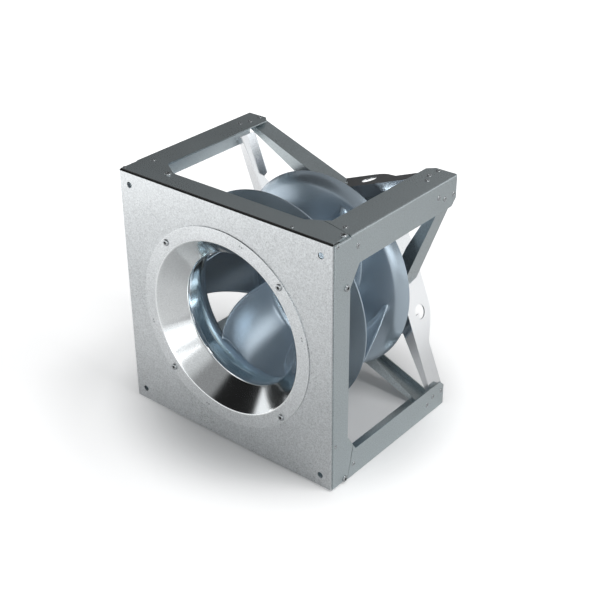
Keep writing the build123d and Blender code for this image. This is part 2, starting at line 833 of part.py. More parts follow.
def camber_angle(r, y):
    """Angle of the blade's middle surface at a radius and depth, a cubic in the log of the radius."""
    r_lead, r_trail = lead_radius(y), trail_radius(y)
    span = log(r_trail / r_lead)
    t = log(r / r_lead) / span
    rise = radians(trail_angle(y) - lead_angle(y))
    slope_lead = span / tan(edge_slope(lead_share(y)))
    slope_trail = span / tan(edge_slope(trail_share(y)))
    t_in = min(1.0, max(0.0, t))
    curve = (
        rise * (3 * t_in ** 2 - 2 * t_in ** 3)
        + slope_lead * (t_in ** 3 - 2 * t_in ** 2 + t_in)
        + slope_trail * (t_in ** 3 - t_in ** 2)
    )
    curve += slope_lead * min(0.0, t) + slope_trail * max(0.0, t - 1)
    return radians(lead_angle(y)) + curve


def camber_point(r, y):
    a = camber_angle(r, y)
    return r * cos(a), r * sin(a)


def blade_section(y):
    """Closed outline of the blade at one depth, thick enough to measure blade_sheet square to the blade."""
    r_first = lead_radius(y) - blade_overrun
    r_last = trail_radius(y) + blade_overrun
    steps = 9
    sides = ([], [])
    for i in range(steps + 1):
        r = r_first * (r_last / r_first) ** (i / steps)
        x, z = camber_point(r, y)
        x1, z1 = camber_point(r + 0.1, y)
        length = hypot(x1 - x, z1 - z)
        nx, nz = (z1 - z) / length, -(x1 - x) / length
        x2, z2 = camber_point(r, y + 0.5)
        lean = ((x2 - x) * nx + (z2 - z) * nz) / 0.5
        spread = blade_sheet / 2 * hypot(1, lean)
        sides[0].append((x + nx * spread, y, z + nz * spread))
        sides[1].append((x - nx * spread, y, z - nz * spread))
    one, two = Spline(*sides[0]), Spline(*sides[1])
    ends = [Line(one @ 0, two @ 0), Line(one @ 1, two @ 1)]
    return Face(Wire([one.edge(), two.edge(), *[e.edge() for e in ends]]))


def blade_passage():
    """Space that a blade fills in the meridional view: between the middles of the two skins."""
    hub = offset_path(disc_path()[::-1], disc_sheet / 2)[::-1]
    shroud = offset_path(shroud_path(), shroud_sheet / 2)
    hub_side = FilletPolyline(*hub, radius=[disc_cone_bend, shoulder_bend - disc_sheet / 2])
    shroud_side = FilletPolyline(*shroud, radius=shroud_bends)
    inner = Line(hub_side @ 0, shroud_side @ 0)
    outer = Line(hub_side @ 1, shroud_side @ 1)
    between = make_face(Wire([*hub_side.edges(), *shroud_side.edges(), inner.edge(), outer.edge()]))
    y_low, y_high = eye_front_y, disc_rear_y
    window = [
        (lead_radius(y_low), y_low),
        (trail_radius(y_low), y_low),
        (trail_radius(y_high), y_high),
        (lead_radius(y_high), y_high),
    ]
    return upright(between & make_face(Polyline(*window, close=True)))


def impeller_blade(back, shroud):
    y_first = lead_shroud_y - 1.5 * blade_overrun
    y_last = trail_hub_y + 1.5 * blade_overrun
    steps = 7
    depths = [y_first + (y_last - y_first) * i / steps for i in range(steps + 1)]
    sheet = loft([blade_section(y) for y in depths])
    return (sheet & blade_passage()) - back - shroud


def balance_weights():
    """Two weights riveted inside the skirt of the back disc, at its rear edge; they follow its flare."""
    flare = (disc_rim_r - disc_shoulder_r) / (disc_rear_y - disc_shoulder_y)
    y_rear = disc_rear_y - 1.0
    y_front = y_rear - weight_width
    rim_inner = disc_rim_r - disc_sheet * hypot(1, flare) - seat_clearance
    r_rear = rim_inner - flare * (disc_rear_y - y_rear)
    r_front = rim_inner - flare * (disc_rear_y - y_front)
    section = [(r_front, y_front), (r_rear, y_rear), (r_rear - weight_thick, y_rear), (r_front - weight_thick, y_front)]
    band = upright(make_face(Polyline(*section, close=True)))
    block = Pos(r_front, (y_front + y_rear) / 2, 0) * Box(8 * weight_thick, 2 * weight_width, weight_length)
    return [turned(band & block, angle) for angle in (65.0, 215.0)]


# Assembly
parts = {}


def add(name, *shapes):
    parts[name] = shapes


def add_group(name, shapes):
    parts[name] = shapes


add("inlet_plate", inlet_plate())
add("inlet_nozzle", inlet_nozzle())
add_group("nozzle_screws", nozzle_screws())
add_group("nozzle_rivets", nozzle_rivets())

corner = corner_piece()
for k, name in enumerate(("top_left", "bottom_left", "bottom_right", "top_right")):
    add("corner_piece_" + name, turned(corner, 90 * k))
rivets = side_heads(band_rivet_spots, rivet_head_r - 1.0, 0.8)
rivets += side_heads(corner_rivet_spots, rivet_head_r, rivet_head_height)
add_group("frame_rivets", rivets + rear_heads())
add_group("frame_screws", side_heads(corner_screw_spots, screw_head_r, screw_head_height))

rail = motor_rail()
brace = rail_brace()
for k, side in enumerate(SIDES):
    add("motor_rail_" + side, turned(rail, 90 * k))
    add("rail_brace_" + side, turned(brace, 90 * k))
add("motor_plate", motor_plate())
add_group("motor_plate_screws", motor_plate_screws())

add("stator_flange", stator_flange())
add_group("flange_bolts", flange_bolts())
add("stator_core", stator_core())
add_group("stator_windings", stator_windings())
add_group("front_bearing", bearing(front_bearing_y))
add_group("rear_bearing", bearing(rear_bearing_y))
add("electronics_housing", electronics_housing())
add("electronics_board", electronics_board())
add("electronics_cover", electronics_cover())
add("cover_seal", cover_seal())
add_group("cover_screws", cover_screws())
add("power_cable_gland", cable_gland(gland_angles[0]))
add("signal_cable_gland", cable_gland(gland_angles[1]))

back_disc = impeller_back_disc()
front_shroud = impeller_front_shroud()
add("motor_shaft", motor_shaft())
add("retaining_ring", retaining_ring())
add("rotor_cup", rotor_cup())
add_group("rotor_magnets", rotor_magnets())
add("impeller_back_disc", back_disc)
add("impeller_front_shroud", front_shroud)
blade = impeller_blade(back_disc, front_shroud)
for k in range(blade_count):
    add("impeller_blade_" + str(k + 1), turned(blade, 360 / blade_count * k))
add("hub_ring", hub_ring())
add_group("hub_screws", hub_screws())
add_group("balance_weights", balance_weights())

os.makedirs("parts", exist_ok=True)
to_base = Pos(0, -middle_y, half)
for name, shapes in parts.items():
    solids = [solid for shape in shapes for solid in (to_base * shape).solids()]
    export_step(Compound(children=solids), "parts/" + name + ".step")
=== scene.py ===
# %% [markdown]
# This lesson dresses a plug fan: a square sheet-metal frame, a spun inlet nozzle and a blue-grey impeller
# with five swept blades. The imported CAD model is loaded first, since the new pieces keep to its places and
# sizes. The depth of its front plate is measured now.

import json
import math

import bmesh
import bpy
import numpy as np
from mathutils import Matrix, Vector


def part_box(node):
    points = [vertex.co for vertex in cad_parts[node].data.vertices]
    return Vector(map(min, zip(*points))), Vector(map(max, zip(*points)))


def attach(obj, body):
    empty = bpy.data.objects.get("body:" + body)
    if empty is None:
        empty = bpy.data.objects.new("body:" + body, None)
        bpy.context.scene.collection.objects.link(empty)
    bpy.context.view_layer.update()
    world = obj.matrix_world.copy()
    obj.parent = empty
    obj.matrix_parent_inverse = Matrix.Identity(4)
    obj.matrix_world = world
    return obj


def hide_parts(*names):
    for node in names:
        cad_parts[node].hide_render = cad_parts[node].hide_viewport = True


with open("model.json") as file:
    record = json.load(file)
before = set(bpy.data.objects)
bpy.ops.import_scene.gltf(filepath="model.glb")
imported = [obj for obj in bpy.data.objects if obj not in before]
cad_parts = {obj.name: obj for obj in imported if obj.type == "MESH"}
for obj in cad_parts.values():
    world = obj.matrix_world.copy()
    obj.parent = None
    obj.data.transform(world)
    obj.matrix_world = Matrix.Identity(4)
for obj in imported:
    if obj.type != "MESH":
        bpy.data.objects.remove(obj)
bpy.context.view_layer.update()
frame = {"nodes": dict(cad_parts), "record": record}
nodes = frame["nodes"]
scene = bpy.context.scene
axis_height = 0.25
front_face = float(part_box("inlet_plate")[0].y)

# %% [markdown]
# A camera could be placed by hand until the picture fits. Here it was solved instead, from the corners of the
# front plate and of the frame behind it, so that edges fall where they do in the photograph. It looks down by
# 30 degrees from the right of the inlet. Three unit vectors give its turn: right, up, and back towards the
# camera. A small roll levels the picture.

# %% Camera axes
azimuth = 0.6886
elevation = 0.5197
roll = -0.0065
back = np.array([
    math.sin(azimuth) * math.cos(elevation),
    -math.cos(azimuth) * math.cos(elevation),
    math.sin(elevation),
])
level_right = np.array([math.cos(azimuth), math.sin(azimuth), 0.0])
level_up = np.cross(back, level_right)
camera_right = math.cos(roll) * level_right + math.sin(roll) * level_up
camera_up = -math.sin(roll) * level_right + math.cos(roll) * level_up
print("camera looks along", np.round(-back, 3))

# %% [markdown]
# The camera stands back from a target near the middle of the frame, and is shifted a little to the right and
# down in its own plane. The focal length was found in pixels, and the sensor width turns it to millimetres.

# %% Camera
target = np.array([0.0, -0.0135, axis_height])
distance = 2.2606
shift_right = 0.02345
shift_up = -0.0170
focal_pixels = 1179.26
picture_pixels = 600.0
place = target + back * distance + camera_right * shift_right + camera_up * shift_up
camera_data = bpy.data.cameras.new("photo_camera")
camera_data.sensor_width = 36.0
camera_data.lens = focal_pixels / picture_pixels * camera_data.sensor_width
camera_data.clip_start = 0.05
camera = bpy.data.objects.new("photo_camera", camera_data)
scene.collection.objects.link(camera)
turn = Matrix([[float(axis[i]) for axis in (camera_right, camera_up, back)] for i in range(3)]).to_4x4()
camera.matrix_world = Matrix.Translation(Vector(place)) @ turn
scene.camera = camera
print("camera at", np.round(place, 3), "lens", round(camera_data.lens, 2))

# %% [markdown]
# Shaders are graphs of nodes. A few helpers keep the code short: one makes a node and fills its inputs with
# plain values or with links, and the others name the small sums that the sky, the floor and the metals share.

# %% Helpers for shader nodes


def shader_node(tree, kind, inputs, **settings):
    """New node with settings such as its operation. An input given as a socket is linked, and any other
    input becomes a value."""
    node = tree.nodes.new(kind)
    for key, value in settings.items():
        setattr(node, key, value)
    for key, value in inputs.items():
        if isinstance(value, bpy.types.NodeSocket):
            tree.links.new(value, node.inputs[key])
        else:
            node.inputs[key].default_value = value
    return node


def calculate(tree, operation, *values):
    """Result of a sum on numbers or sockets, such as ADD or MULTIPLY."""
    return shader_node(tree, "ShaderNodeMath", dict(enumerate(values)), operation=operation).outputs[0]


def vector_sum(tree, operation, *values):
    """Node for a sum on vectors, such as DOT_PRODUCT or LENGTH."""
    return shader_node(tree, "ShaderNodeVectorMath", dict(enumerate(values)), operation=operation)


def scaled(tree, colour, factor):
    """Colour times a factor."""
    inputs = {0: colour, "Scale": factor}
    return shader_node(tree, "ShaderNodeVectorMath", inputs, operation="SCALE").outputs[0]


# %% [markdown]
# Two more helpers turn a value into a level: a step between two limits, and a ramp with several stops.

# %% Steps and ramps


def step_between(tree, value, start, end, low, high, shape="SMOOTHSTEP"):
    """Level that goes from low to high while the value goes from start to end, and stays level outside."""
    inputs = {"Value": value, "From Min": start, "From Max": end, "To Min": low, "To Max": high}
    return shader_node(tree, "ShaderNodeMapRange", inputs, interpolation_type=shape).outputs[0]


def eased_ramp(tree, value, stops, tint=(1.0, 1.0, 1.0)):
    """Colour for a value between 0 and 1. Each stop is a position and a level, with an eased way between."""
    node = shader_node(tree, "ShaderNodeValToRGB", {"Fac": value})
    ramp = node.color_ramp
    ramp.interpolation = "EASE"
    ramp.elements[0].position = stops[0][0]
    ramp.elements[1].position = stops[-1][0]
    for position, level in stops[1:-1]:
        ramp.elements.new(position)
    for element, (position, level) in zip(ramp.elements, stops):
        element.color = (level * tint[0], level * tint[1], level * tint[2], 1)
    return node.outputs["Color"]


# %% [markdown]
# Bright metal has hardly a colour of its own: it shows its surroundings, so the studio is part of the look.
# A picture of a studio could be wrapped round the scene, but a ramp from the ground to the zenith is enough
# here. It has a white horizon, and a darker ceiling that turns the top faces dark. The positions of its stops
# go from 0 straight down to 1 straight up. The Standard view shows each colour as it is written.

# %% Sky from ground to zenith
scene.view_settings.view_transform = "Standard"
world = bpy.data.worlds.new("studio")
scene.world = world
world.use_nodes = True
sky_tree = world.node_tree
sky_tree.nodes.clear()
sky_stops = [(0.0, 0.8), (0.48, 1.0), (0.63, 1.0), (0.69, 0.34), (0.8, 0.26), (1.0, 0.3)]
sky_tint = (0.98, 1.0, 1.015)
sky_heading = sky_tree.nodes.new("ShaderNodeTexCoord").outputs["Generated"]
sky_split = shader_node(sky_tree, "ShaderNodeSeparateXYZ", {0: sky_heading})
half_up = calculate(sky_tree, "MULTIPLY_ADD", sky_split.outputs["Z"], 0.5, 0.5)
sky_colour = eased_ramp(sky_tree, half_up, sky_stops, sky_tint)
print("sky stops", len(sky_stops))

# %% [markdown]
# Polished metal looks polished when it shows dark panels and a light one, as a studio has them beside the
# object. Each is a round patch of the sky, and its soft edge lies between two cosines of the angle to its
# middle. The first is dark and low at the back left, the second dark and above the front left, and the third
# light and above the front right.

# %% Panels in the sky


def sky_patch(colour, toward, outer, inner, level):
    """Sky colour that is scaled to a level inside a round patch."""
    nearness = vector_sum(sky_tree, "DOT_PRODUCT", sky_heading, Vector(toward).normalized())
    factor = step_between(sky_tree, nearness.outputs["Value"], outer, inner, 1.0, level)
    return scaled(sky_tree, colour, factor)


sky_colour = sky_patch(sky_colour, toward=(-0.74, 0.67, 0.0), outer=0.86, inner=0.96, level=0.12)
sky_colour = sky_patch(sky_colour, toward=(-0.66, -0.42, 0.62), outer=0.86, inner=0.93, level=0.05)
sky_colour = sky_patch(sky_colour, toward=(0.52, -0.72, 0.46), outer=0.88, inner=0.97, level=2.4)
print("sky nodes so far", len(sky_tree.nodes))

# %% [markdown]
# The camera itself sees a plain white background. Light Path tells the camera's own rays from all others.

# %% White background
sky = shader_node(sky_tree, "ShaderNodeBackground", {"Color": sky_colour})
plain = shader_node(sky_tree, "ShaderNodeBackground", {"Color": (1, 1, 1, 1)})
sky_rays = sky_tree.nodes.new("ShaderNodeLightPath")
sky_choice = {0: sky_rays.outputs["Is Camera Ray"], 1: sky.outputs[0], 2: plain.outputs[0]}
seen_sky = shader_node(sky_tree, "ShaderNodeMixShader", sky_choice)
shader_node(sky_tree, "ShaderNodeOutputWorld", {"Surface": seen_sky.outputs[0]})
print("sky nodes in all", len(sky_tree.nodes))

# %% [markdown]
# One large soft lamp from the right and above gives the shadow at the left, and a weak one fills the front.
# Two more lamps reach only some pieces, by light linking. One lights the eye of the impeller. The other
# lights the blade that shows through the right window, and only that blade casts a shadow in its light.

# %% Lamps


def soft_lamp(name, at, aim, size, watts):
    """Square area lamp at a point, turned to face another point."""
    data = bpy.data.lights.new(name, "AREA")
    data.shape = "SQUARE"
    data.size = size
    data.energy = watts
    lamp = bpy.data.objects.new(name, data)
    scene.collection.objects.link(lamp)
    lamp.location = at
    lamp.rotation_euler = (Vector(aim) - Vector(at)).to_track_quat("-Z", "Y").to_euler()
    return lamp


def lit_only(lamp, name):
    """Empty collection that a lamp is limited to; pieces are put into it later."""
    chosen = bpy.data.collections.new(name)
    lamp.light_linking.receiver_collection = chosen
    return chosen


soft_lamp("key_lamp", at=(1.5, 0.2, 2.2), aim=(0, 0, 0.2), size=1.1, watts=28)
soft_lamp("front_lamp", at=(0.9, -2.6, 1.1), aim=(0, 0, 0.25), size=1.2, watts=4)
eye_lamp = soft_lamp("eye_lamp", at=(0.8, -2.1, 0.8), aim=(0.0, -0.1, 0.25), size=0.5, watts=26)
lit_by_eye_lamp = lit_only(eye_lamp, "lit_by_eye_lamp")
blade_lamp = soft_lamp("blade_lamp", at=(1.75, 0.12, 0.48), aim=(-0.08, 0.0, 0.14), size=1.3, watts=10)
lit_by_blade_lamp = lit_only(blade_lamp, "lit_by_blade_lamp")
blade_lamp.light_linking.blocker_collection = lit_by_blade_lamp
print("lamps", len(bpy.data.lights))

# %% [markdown]
# The floor is one large square.

# %% Floor sheet
floor_reach = 12.0
floor_mesh = bpy.data.meshes.new("floor")
floor_corners = floor_reach * np.array([(-1, -1, 0), (1, -1, 0), (1, 1, 0), (-1, 1, 0)], float)
floor_mesh.from_pydata(floor_corners.tolist(), [], [(0, 1, 2, 3)])
floor = bpy.data.objects.new("floor", floor_mesh)
scene.collection.objects.link(floor)
floor_paint = bpy.data.materials.new("floor_white")
floor_paint.use_nodes = True
floor_mesh.materials.append(floor_paint)
floor_tree = floor_paint.node_tree
floor_skin = floor_tree.nodes["Principled BSDF"]
floor_skin.inputs["Roughness"].default_value = 0.9
floor_skin.inputs["Specular IOR Level"].default_value = 0.1
floor_skin.inputs["Emission Color"].default_value = (1, 1, 1, 1)
floor_rays = floor_tree.nodes.new("ShaderNodeLightPath").outputs
floor_place = floor_tree.nodes.new("ShaderNodeTexCoord").outputs["Object"]
print("floor", 2 * floor_reach, "m wide")

# %% [markdown]
# The floor has to be white far away and keep the shadow near the fan. More light would also fall on the fan,
# so the floor gives off a little light instead, which only the camera's rays and the mirror rays see. For the
# camera it grows with the distance from the fan, and the ramp reads half that distance.
#
# Mirror rays see another floor, made of soft steps along two directions. Towards the front left the floor
# grows lighter, which shades the plate from its lower right to its upper left. Far at the back right it is
# light for the frame's right side.

# %% Light of the floor


def floor_step(toward, start, end, level, shape="SMOOTHSTEP"):
    """Level that rises from 0 while the floor goes from start to end along a direction, in metres."""
    reached = vector_sum(floor_tree, "DOT_PRODUCT", floor_place, toward).outputs["Value"]
    return step_between(floor_tree, reached, start, end, 0.0, level, shape)


far_stops = [(0.1, 0.0), (0.2, 0.5), (0.3, 0.64), (0.75, 0.95)]
floor_distance = vector_sum(floor_tree, "LENGTH", floor_place).outputs["Value"]
half_distance = calculate(floor_tree, "MULTIPLY", floor_distance, 0.5)
far_white = eased_ramp(floor_tree, half_distance, far_stops)
front_left = (-0.64, -0.77, 0.0)
back_right = (0.7, 0.714, 0.0)
near_step = floor_step(front_left, start=0.1, end=0.65, level=0.38)
white_step = floor_step(front_left, start=1.0, end=1.5, level=1.0)
side_step = floor_step(back_right, start=1.6, end=3.0, level=0.8, shape="LINEAR")
mirror_white = calculate(floor_tree, "ADD", calculate(floor_tree, "ADD", near_step, white_step), side_step)
mirrored = calculate(floor_tree, "MULTIPLY", floor_rays["Is Glossy Ray"], mirror_white)
floor_light = calculate(floor_tree, "MULTIPLY_ADD", floor_rays["Is Camera Ray"], far_white, mirrored)
floor_tree.links.new(floor_light, floor_skin.inputs["Emission Strength"])
print("floor stops", len(far_stops))

# %% [markdown]
# The upper rail is dark in the photograph, yet it mirrors the floor far at the back left. So a wedge of the
# floor in that direction is dark for mirror rays, and the rest keeps its plain light grey. The wedge's soft
# edge lies between two cosines.

# %% Dark wedge of the floor
floor_grey = 0.8
wedge_toward = (-0.67, 0.742, 0.0)
wedge_outer, wedge_inner = 0.88, 0.97
wedge_darkness = 0.9
floor_heading = vector_sum(floor_tree, "NORMALIZE", floor_place).outputs[0]
wedge_nearness = vector_sum(floor_tree, "DOT_PRODUCT", floor_heading, wedge_toward).outputs["Value"]
wedge = step_between(floor_tree, wedge_nearness, wedge_outer, wedge_inner, 0.0, wedge_darkness)
mirror_wedge = calculate(floor_tree, "MULTIPLY", wedge, floor_rays["Is Glossy Ray"])
floor_shade = calculate(floor_tree, "MULTIPLY_ADD", mirror_wedge, -floor_grey, floor_grey)
floor_tree.links.new(floor_shade, floor_skin.inputs["Base Color"])
print("floor nodes", len(floor_tree.nodes))

# %% [markdown]
# Zinc on sheet steel has a fine grain and slow cloudy patches. An image could show them, but noise in object
# space needs no unwrapping and stays sharp. The group below is shared: it puts out a colour, a roughness and
# a height, and each finish uses it with its own values.

# %% Shader group for metal grain
grain_tree = bpy.data.node_groups.new("metal_grain", "ShaderNodeTree")
grain_inputs = {
    "Colour": "NodeSocketColor",
    "Grain scale": "NodeSocketFloat",
    "Grain strength": "NodeSocketFloat",
    "Cloud scale": "NodeSocketFloat",
    "Cloud strength": "NodeSocketFloat",
    "Roughness": "NodeSocketFloat",
    "Roughness spread": "NodeSocketFloat",
}
grain_outputs = {"Colour": "NodeSocketColor", "Roughness": "NodeSocketFloat", "Height": "NodeSocketFloat"}
for name, kind in grain_inputs.items():
    grain_tree.interface.new_socket(name, in_out="INPUT", socket_type=kind)
for name, kind in grain_outputs.items():
    grain_tree.interface.new_socket(name, in_out="OUTPUT", socket_type=kind)
given = grain_tree.nodes.new("NodeGroupInput").outputs
metal_place = grain_tree.nodes.new("ShaderNodeTexCoord").outputs["Object"]
print("group sockets", len(grain_inputs), "in and", len(grain_outputs), "out")

# %% [markdown]
# Both noises lie round one half, so a half is taken off them before they are scaled. The sum of the two makes
# the colour lighter or darker round its own value, and moves the roughness in the same way. The fine noise is
# also the height that a finish can use for its bump.

# %% Noise in the group


def noise(scale, detail, roughness):
    """Noise between 0 and 1 in object space."""
    inputs = {"Vector": metal_place, "Scale": scale, "Detail": detail, "Roughness": roughness}
    return shader_node(grain_tree, "ShaderNodeTexNoise", inputs).outputs["Fac"]


def centred(height):
    """Noise less one half."""
    return calculate(grain_tree, "SUBTRACT", height, 0.5)


def weighed_sum(fine_weight, cloud_weight, base):
    """The two noises with their weights on top of a base."""
    fine_part = calculate(grain_tree, "MULTIPLY", fine_centred, fine_weight)
    cloud_part = calculate(grain_tree, "MULTIPLY", cloud_centred, cloud_weight)
    return calculate(grain_tree, "ADD", calculate(grain_tree, "ADD", fine_part, cloud_part), base)


fine = noise(given["Grain scale"], detail=3.0, roughness=0.65)
fine_centred = centred(fine)
cloud_centred = centred(noise(given["Cloud scale"], detail=4.0, roughness=0.6))
shade = weighed_sum(given["Grain strength"], given["Cloud strength"], 1.0)
grain_results = {
    "Colour": scaled(grain_tree, given["Colour"], shade),
    "Roughness": weighed_sum(given["Roughness spread"], given["Roughness spread"], given["Roughness"]),
    "Height": fine,
}
shader_node(grain_tree, "NodeGroupOutput", grain_results)
print("group nodes", len(grain_tree.nodes))

# %% [markdown]
# Each finish is one material. The Principled shader stays in the material itself, and the group feeds its
# colour, roughness and a fine bump. Grain and clouds are each given as a scale and a strength. Metallic is 1
# for bare metal, lower for paint with a metal shine, and 0 for plastic.

# %% Finish of a metal


def metal_finish(name, colour, roughness, grain, clouds, spread, bump, metallic=1.0):
    """Material that uses the grain group with its own values, and a bump where it is given one."""
    bump_height = 0.0004
    material = bpy.data.materials.new(name)
    material.use_nodes = True
    tree = material.node_tree
    skin = tree.nodes["Principled BSDF"]
    skin.inputs["Metallic"].default_value = metallic
    group = tree.nodes.new("ShaderNodeGroup")
    group.node_tree = grain_tree
    values = ((*colour, 1.0), *grain, *clouds, roughness, spread)
    for key, value in zip(grain_inputs, values):
        group.inputs[key].default_value = value
    tree.links.new(group.outputs["Colour"], skin.inputs["Base Color"])
    tree.links.new(group.outputs["Roughness"], skin.inputs["Roughness"])
    if bump:
        inputs = {"Strength": bump, "Distance": bump_height, "Height": group.outputs["Height"]}
        dent = shader_node(tree, "ShaderNodeBump", inputs)
        tree.links.new(dent.outputs["Normal"], skin.inputs["Normal"])
    return material


# %% [markdown]
# The frame is galvanised sheet: a pale front plate and flange, darker folded sheet beside it, and smooth
# rails. The faces inside the left of the frame that look to the right get a paler, nearly matt copy of the
# sheet finish, which is painted light. The nozzle is spun and polished. The impeller wears smooth blue-grey
# paint with a metal shine, and its eye ring is bright.

# %% Finishes that the front shows
zinc_plate = metal_finish(
    "zinc_front_plate", (0.60, 0.62, 0.63), roughness=0.33, grain=(420, 1.1), clouds=(10, 0.10),
    spread=0.3, bump=0.35)
zinc_flange = metal_finish(
    "zinc_flange", (0.68, 0.70, 0.71), roughness=0.33, grain=(420, 1.0), clouds=(10, 0.10),
    spread=0.3, bump=0.3)
zinc_sheet = metal_finish(
    "zinc_sheet", (0.49, 0.54, 0.555), roughness=0.32, grain=(420, 0.9), clouds=(9, 0.08),
    spread=0.2, bump=0.12)
# Painted light: a paler, nearly matt copy of the sheet finish for the faces inside the left of the frame that
# look to the right.
painted_light_faces = metal_finish(
    "painted_light_sheet", (0.78, 0.86, 0.89), roughness=0.35, grain=(420, 0.4), clouds=(9, 0.08),
    spread=0.1, bump=0.05, metallic=0.2)
zinc_rail = metal_finish(
    "zinc_rail", (0.82, 0.83, 0.84), roughness=0.18, grain=(500, 0.10), clouds=(9, 0.06),
    spread=0.10, bump=0.02)
spun_metal = metal_finish(
    "spun_nozzle", (0.84, 0.86, 0.865), roughness=0.13, grain=(420, 0.45), clouds=(9, 0.06),
    spread=0.08, bump=0.03)
fan_paint = metal_finish(
    "impeller_paint", (0.46, 0.54, 0.61), roughness=0.27, grain=(420, 0.0), clouds=(8, 0.08),
    spread=0.0, bump=0.0, metallic=0.8)
eye_polish = metal_finish(
    "polished_eye_ring", (0.78, 0.88, 0.9), roughness=0.12, grain=(420, 0.06), clouds=(8, 0.05),
    spread=0.04, bump=0.0)
# Painted shade: a near-black finish for the screw recesses and for the narrow gap at the plate's top edge.
painted_shade_black = metal_finish(
    "painted_shade_finish", (0.06, 0.06, 0.06), roughness=0.5, grain=(900, 0.1), clouds=(60, 0.1),
    spread=0.1, bump=0.0)
screw_zinc = metal_finish(
    "screw_zinc", (0.42, 0.44, 0.45), roughness=0.22, grain=(900, 0.1), clouds=(60, 0.15),
    spread=0.1, bump=0.05)
print("finishes so far", grain_tree.users)

# %% [markdown]
# The motor and its electronics sit behind the impeller, and have the plain finishes of such parts: cast
# aluminium, lacquered core plates, copper wire, ground bearing steel, a green board and black plastic.

# %% Finishes of the motor
cast_metal = metal_finish(
    "cast_aluminium", (0.52, 0.53, 0.55), roughness=0.42, grain=(700, 0.12), clouds=(14, 0.1),
    spread=0.12, bump=0.3)
core_metal = metal_finish(
    "core_steel", (0.22, 0.23, 0.24), roughness=0.45, grain=(500, 0.1), clouds=(20, 0.1),
    spread=0.1, bump=0.1)
copper = metal_finish(
    "copper_winding", (0.66, 0.33, 0.15), roughness=0.35, grain=(300, 0.2), clouds=(40, 0.1),
    spread=0.1, bump=0.3)
ground_steel = metal_finish(
    "ground_steel", (0.6, 0.61, 0.63), roughness=0.16, grain=(600, 0.05), clouds=(20, 0.05),
    spread=0.05, bump=0.02)
board_green = metal_finish(
    "circuit_board", (0.03, 0.16, 0.07), roughness=0.5, grain=(400, 0.2), clouds=(60, 0.1),
    spread=0.1, bump=0.1, metallic=0.0)
black_plastic = metal_finish(
    "black_plastic", (0.02, 0.02, 0.022), roughness=0.45, grain=(900, 0.15), clouds=(30, 0.1),
    spread=0.1, bump=0.15, metallic=0.0)
magnet_grey = metal_finish(
    "magnet_grey", (0.10, 0.10, 0.11), roughness=0.5, grain=(500, 0.1), clouds=(30, 0.1),
    spread=0.1, bump=0.2)
print("finishes in all", grain_tree.users)

# %% [markdown]
# Every node of the CAD model names a material slot and belongs to one of the two bodies, the frame or the
# rotor. First all nodes are dressed by slot. Later pieces are new surfaces that stand for a node, and take
# over its slot and its body.

# %% Dress the CAD nodes
slot_materials = {
    "galvanised_sheet": zinc_sheet,
    "spun_nozzle": spun_metal,
    "fasteners": screw_zinc,
    "cast_aluminium": cast_metal,
    "core_steel": core_metal,
    "copper_winding": copper,
    "bearing_steel": ground_steel,
    "circuit_board": board_green,
    "black_plastic": black_plastic,
    "magnet": magnet_grey,
    "impeller_paint": fan_paint,
    "weight_metal": screw_zinc,
    "seal_rubber": black_plastic,
}
slot_of = {row["node"]: row["material_slot"] for row in frame["record"]["subparts"]}
body_of = {node: body for body, names in frame["record"]["behaviour"]["bodies"].items() for node in names}


def dress(piece, material):
    """One material on all of a piece."""
    piece.data.materials.clear()
    piece.data.materials.append(material)


def dress_faces(piece, material, chosen):
    """One more material, on the faces that a test chooses."""
    piece.data.materials.append(material)
    index = len(piece.data.materials) - 1
    for face in piece.data.polygons:
        if chosen(face):
            face.material_index = index


for name, piece in nodes.items():
    dress(piece, slot_materials[slot_of[name]])
dress(nodes["inlet_plate"], zinc_plate)
print("dressed", len(nodes), "nodes")

# %% [markdown]
# A new piece rides with the body of its CAD node, replaces that node in the picture and keeps its slot.

# %% Standing for a node


def stand_for(piece, node, material=None):
    """A piece takes a node's place, body and slot. It is dressed for the slot, or in a given material."""
    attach(piece, body_of[node])
    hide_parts(node)
    dress(piece, material or slot_materials[slot_of[node]])
    return piece


def new_piece(mesh):
    """Object at the origin for a mesh that holds its own place."""
    piece = bpy.data.objects.new(mesh.name, mesh)
    scene.collection.objects.link(piece)
    return piece


# %% [markdown]
# Folded sheet has soft edges that catch the light, and a sharp CAD edge doesn't. The edges could be modelled
# one by one, but a narrow bevel over the whole piece gives the same line of light. It needs clean faces, so
# the loose triangles of a copy are merged and its flat faces are joined first.

# %% Rounded copies
merge_distance = 2e-5


def rounded_copy(node, width, material=None):
    """Merged copy of a CAD node with flat faces joined, a narrow bevel and smooth shading between."""
    flat_angle = math.radians(1.0)
    shape = bmesh.new()
    shape.from_mesh(nodes[node].data)
    bmesh.ops.remove_doubles(shape, verts=shape.verts, dist=merge_distance)
    bmesh.ops.dissolve_limit(shape, angle_limit=flat_angle, verts=shape.verts, edges=shape.edges)
    mesh = bpy.data.meshes.new(node + "_rounded")
    shape.to_mesh(mesh)
    shape.free()
    mesh.shade_smooth()
    piece = new_piece(mesh)
    bevel = piece.modifiers.new("rounding", "BEVEL")
    bevel.width = width
    bevel.segments = 2
    bevel.limit_method = "ANGLE"
    bevel.angle_limit = math.radians(35)
    bevel.harden_normals = True
    even = piece.modifiers.new("flat_faces_stay_flat", "WEIGHTED_NORMAL")
    even.mode = "FACE_AREA"
    even.weight = 100
    return stand_for(piece, node, material)


# %% [markdown]
# The sheet pieces are the plate, the corner pieces, the rails, the braces and the motor plate. The plate's
# folded top edge and the front ends of the bands above it lie in a narrow gap, and a near-black finish on
# them is painted shade for the gap's shadow. The faces inside the left of the frame that look to the right
# get a paler copy of the sheet finish, which is painted light.

# %% Sheet pieces
sheet_edge = 0.0004
joint_depth = 0.0038
top_zone = 0.49
left_zone = -0.235
facing = 0.7


